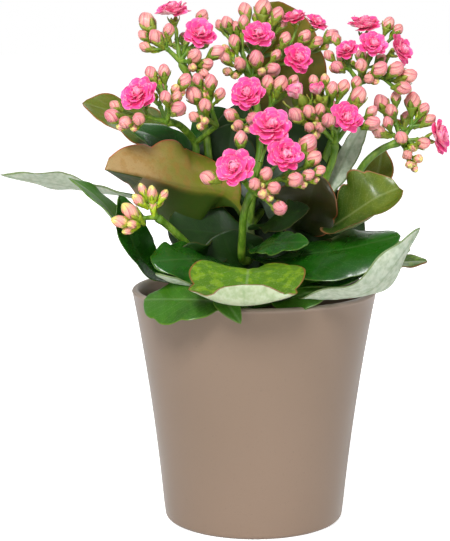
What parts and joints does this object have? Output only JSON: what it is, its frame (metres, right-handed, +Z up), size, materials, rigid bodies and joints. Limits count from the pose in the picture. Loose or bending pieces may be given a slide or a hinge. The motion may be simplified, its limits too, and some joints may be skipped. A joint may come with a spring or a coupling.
{
  "type": "potted kalanchoe",
  "caption": "Kalanchoe with clusters of pink double flowers and fleshy scalloped leaves, growing in a grower's pot inside a flared, glazed ceramic pot.",
  "frame": {"origin": "centre of the ceramic pot's flat foot", "axes": "+Z up along the pot's axis, -Y towards the front, +X to the right seen from the front"},
  "size_m": [0.2479, 0.1937, 0.291],
  "materials": {
    "glazed_pot": "glossy taupe glaze",
    "grower_plastic": "thin matte brown plastic",
    "potting_soil": "loose dark peat",
    "shoot_bark": "green-brown young bark",
    "flower_stem": "smooth fleshy green",
    "petal": "velvety pink, paler in the middle",
    "leaf_green": "glossy dark green",
    "leaf_olive": "semi-gloss olive",
    "leaf_bronze": "semi-gloss bronze, sun-tinted",
    "leaf_bright": "satin yellow-green",
    "leaf_pale": "matte silvery green underside"
  },
  "bodies": {
    "root": {"ceramic_pot": "glazed_pot", "grower_pot": "grower_plastic", "shoot_left": "shoot_bark", "shoot_centre": "shoot_bark", "shoot_right": "shoot_bark", "potting_soil": "potting_soil", "flower_stalk_top_left": "flower_stem", "flower_stalk_top_centre": "flower_stem", "flower_stalk_top_right": "flower_stem", "flower_stalk_left": "flower_stem", "flower_stalk_centre": "flower_stem", "flower_stalk_right": "flower_stem", "flower_stalk_front": "flower_stem", "flower_stalk_far_right": "flower_stem", "flower_stalk_young": "flower_stem", "flower_stalk_back": "flower_stem", "leaf_bronze_left": "leaf_bronze", "leaf_upper_left": "leaf_olive", "leaf_long_left": "leaf_pale", "leaf_bent_left": "leaf_green", "leaf_upright_left": "leaf_green", "leaf_glossy_left": "leaf_green", "leaf_small_pale": "leaf_pale", "leaf_over_rim": "leaf_green", "leaf_curled_front": "leaf_bright", "leaf_pale_right": "leaf_pale", "leaf_far_right": "leaf_bright", "leaf_cupped_right": "leaf_olive", "leaf_upright_right": "leaf_olive", "leaf_glossy_right": "leaf_green", "leaf_lower_right": "leaf_green", "leaf_toothed": "leaf_green", "leaf_small_centre": "leaf_olive", "leaf_tall_back": "leaf_olive", "leaf_middle_left": "leaf_green", "leaf_dark_centre": "leaf_green", "leaf_dark_right": "leaf_olive", "leaf_back_left": "leaf_green", "leaf_back_centre": "leaf_green", "leaf_back_right": "leaf_green", "leaf_back_upper": "leaf_olive", "flower_top_left_upper": "petal", "flower_top_left_lower": "petal", "flower_top_centre": "petal", "flower_top_centre_right": "petal", "flower_top_centre_upper": "petal", "flower_top_centre_outer": "petal", "flower_top_right_inner": "petal", "flower_top_right_upper": "petal", "flower_top_right_front": "petal", "flower_top_right_outer": "petal", "flower_left": "petal", "flower_centre": "petal", "flower_right": "petal", "flower_front_upper": "petal", "flower_front_right": "petal", "flower_front_left": "petal", "flower_far_right": "petal", "flower_back_left": "petal", "flower_back_right": "petal"}
  },
  "joints": []
}
